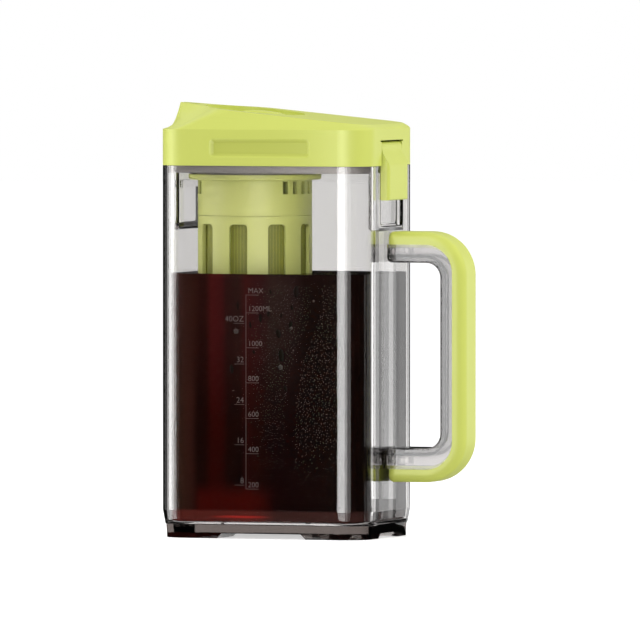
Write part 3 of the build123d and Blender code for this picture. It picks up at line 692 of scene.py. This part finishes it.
def ink_words(words, x, low, tall, side):
    """Printed letters on the front wall; side 1 starts them at x and side -1 ends them there."""
    curve = bpy.data.curves.new(words, "FONT")
    curve.body = words
    curve.size = tall / letter_share
    curve.extrude = ink_thickness / 2
    curve.offset = -letter_thinning
    curve.resolution_u = 3
    letters = bpy.data.objects.new(words, curve)
    scene.collection.objects.link(letters)
    mesh = bpy.data.meshes.new_from_object(letters.evaluated_get(bpy.context.evaluated_depsgraph_get()))
    bpy.data.objects.remove(letters)
    wide = max(vert.co.x for vert in mesh.vertices)
    left = x if side > 0 else x - wide
    place = Matrix.Translation((jug_x + left, -wall_face - ink_thickness, low))
    mesh.transform(place @ Matrix.Rotation(radians(90), 4, "X"))
    shape.from_mesh(mesh)


ink_bar(line_x - line_half, line_x + line_half, line_low, line_high)
for words, low in (("MAX", 0.1392), ("1200ML", 0.1290), ("1000", 0.1091), ("800", 0.0891), ("600", 0.0688),
                   ("400", 0.0487), ("200", 0.0285)):
    ink_bar(line_x, millilitre_mark_end, low - ink_half_stroke, low + ink_half_stroke)
    ink_words(words, millilitre_words_start, low + above_mark, millilitre_tall, 1)
for words, low in (("40OZ", 0.1230), ("32", 0.0998), ("24", 0.0767), ("16", 0.0537), ("8", 0.0307)):
    ink_bar(*ounce_mark, low - ink_half_stroke, low + ink_half_stroke)
    ink_words(words, ounce_words_end, low + above_mark, ounce_tall, -1)
graduations = finish_mesh("graduations", shape, ink_material)
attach(graduations, "jug")

# ---- water drops ----
# Condensed water on the cold front wall: fine drops, a few big dark ones, some beads painted pale as
# highlights, and a clear track where a drop has run down.
drop_gap = 0.00002
lean_span = 0.5
patch_scale = 70.0


def dome(sides, rings):
    """Closed low dome of unit size that bulges to the front."""
    shape = bmesh.new()
    bmesh.ops.create_uvsphere(shape, u_segments=sides, v_segments=rings, radius=1.0,
                              matrix=Matrix.Rotation(radians(90), 4, "X"))
    ball = shape.verts[:] + shape.edges[:] + shape.faces[:]
    bmesh.ops.bisect_plane(shape, geom=ball, plane_co=(0.0, 0.0, 0.0), plane_no=(0.0, 1.0, 0.0),
                           clear_outer=True)
    for face in shape.faces:
        face.smooth = True
    bmesh.ops.holes_fill(shape, edges=shape.edges[:], sides=0)
    mesh = bpy.data.meshes.new("dome")
    shape.to_mesh(mesh)
    shape.free()
    return mesh


def own_lean(x, z):
    """Small turn of a drop to either side; large factors scatter it from one place to the next."""
    return (x * 997 + z * 619) % lean_span - lean_span / 2


def strewn(name, pattern, drops, material):
    """One piece made of many domes, each given by its place, half width, half height and bulge."""
    shape = bmesh.new()
    for x, z, wide, tall, bulge in drops:
        drop = pattern.copy()
        place = Matrix.Translation((jug_x + x, -wall_face - drop_gap, z))
        lean = Matrix.Rotation(own_lean(x, z), 4, "Y")
        drop.transform(place @ lean @ Matrix.Diagonal((wide, bulge, tall, 1.0)))
        shape.from_mesh(drop)
        bpy.data.meshes.remove(drop)
    thing = finish_mesh(name, shape, material)
    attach(thing, "jug")


def water(name, brown, green, gloss):
    """Water beads in two tones, coloured as the dark coffee behind them; lit beads are painted pale as
    highlights.
    """
    material, tree, shader = blank_material(name)
    greener = fade(tree, noise(tree, object_place(tree), patch_scale), 0.45, 0.6)
    tree.links.new(blended(tree, greener, brown, green), shader.inputs["Base Color"])
    shader.inputs["Roughness"].default_value = 0.2
    shader.inputs["IOR"].default_value = 1.33
    shader.inputs["Specular IOR Level"].default_value = gloss
    return material


# heights and places across the wall that the running drop passed
track = ((0.150, 0.0342), (0.129, 0.0342), (0.118, 0.0302), (0.109, 0.0264), (0.099, 0.0223), (0.088, 0.0207),
         (0.080, 0.0188), (0.030, 0.0175))


def track_middle(z):
    """Place across the wall where the running drop passed a height."""
    for (high, high_x), (low, low_x) in zip(track, track[1:]):
        if z >= low:
            return low_x + (high_x - low_x) * (z - low) / (high - low)
    return track[-1][1]


big_drops = (
    (0.0223, 0.1414, 0.0015, 0.0034), (0.0067, 0.1411, 0.0006, 0.0014), (0.0197, 0.1325, 0.0008, 0.0016),
    (0.0054, 0.1285, 0.0008, 0.0015), (0.0006, 0.1262, 0.0009, 0.0025), (0.0132, 0.1279, 0.0006, 0.0016),
    (0.0189, 0.1230, 0.0011, 0.0019), (0.0115, 0.1173, 0.0016, 0.0026), (-0.0055, 0.1222, 0.0006, 0.0018),
    (0.0132, 0.1050, 0.0017, 0.0038), (-0.0169, 0.0970, 0.0010, 0.0026), (-0.0132, 0.1330, 0.0006, 0.0024),
    (0.0158, 0.0861, 0.0010, 0.0018), (-0.0035, 0.1067, 0.0007, 0.0012))
fine_rows = 70
fine_columns = 33
fine_pitch = 0.0016
fine_right = 0.0475
fine_top = 0.145
fine_foot = 0.030
fine_left = -0.006
full_above_foot = 0.035
full_past_left = 0.012
fine_widths = (0.00020, 0.00034)
fine_heights = (0.9, 1.3)
fine_bulge = 0.45
smaller_left_of_track = 0.85
track_half = 0.0031
bare_ring = 1.5
chance = random.Random(7)
fine_drops = []
for row in range(fine_rows):
    for column in range(fine_columns):
        x = fine_right - (column + chance.random()) * fine_pitch
        z = fine_top - (row + chance.random()) * fine_pitch
        past = x - track_middle(z)
        size = chance.uniform(*fine_widths)
        if past < 0:
            size *= smaller_left_of_track
        thinning = min(1.0, (z - fine_foot) / full_above_foot) * min(1.0, (x - fine_left) / full_past_left)
        clear = all(((x - big_x) / wide) ** 2 + ((z - big_z) / tall) ** 2 > bare_ring
                    for big_x, big_z, wide, tall in big_drops)
        if clear and abs(past) > track_half and chance.random() < thinning:
            fine_drops.append((x, z, size, size * chance.uniform(*fine_heights), size * fine_bulge))
fine_water = water("fine water", (0.040, 0.028, 0.023), (0.028, 0.034, 0.018), gloss=0.3)
strewn("fine_drops", dome(6, 4), fine_drops, fine_water)
big_bulge = 0.4
dark_water = water("drop water", (0.006, 0.003, 0.002), (0.005, 0.004, 0.002), gloss=0.06)
strewn("big_drops", dome(16, 8), [(x, z, wide, tall, wide * big_bulge) for x, z, wide, tall in big_drops],
       dark_water)
# painted highlights: pale beads that stand in for light caught in the water
glints = (
    (-0.0142, 0.1185, 0.0018, 0.0018), (0.0193, 0.1206, 0.0010, 0.0010), (0.0128, 0.0982, 0.0015, 0.0017),
    (0.0328, 0.1361, 0.0007, 0.0008), (0.0206, 0.1079, 0.0005, 0.0006), (-0.0159, 0.0846, 0.0008, 0.0004))
glint_bulge = 0.3
painted_glint_water = water("lit water", (0.045, 0.034, 0.031), (0.038, 0.034, 0.030), gloss=0.1)
strewn("glints", dome(5, 4), [(x, z, wide, tall, wide * glint_bulge) for x, z, wide, tall in glints],
       painted_glint_water)
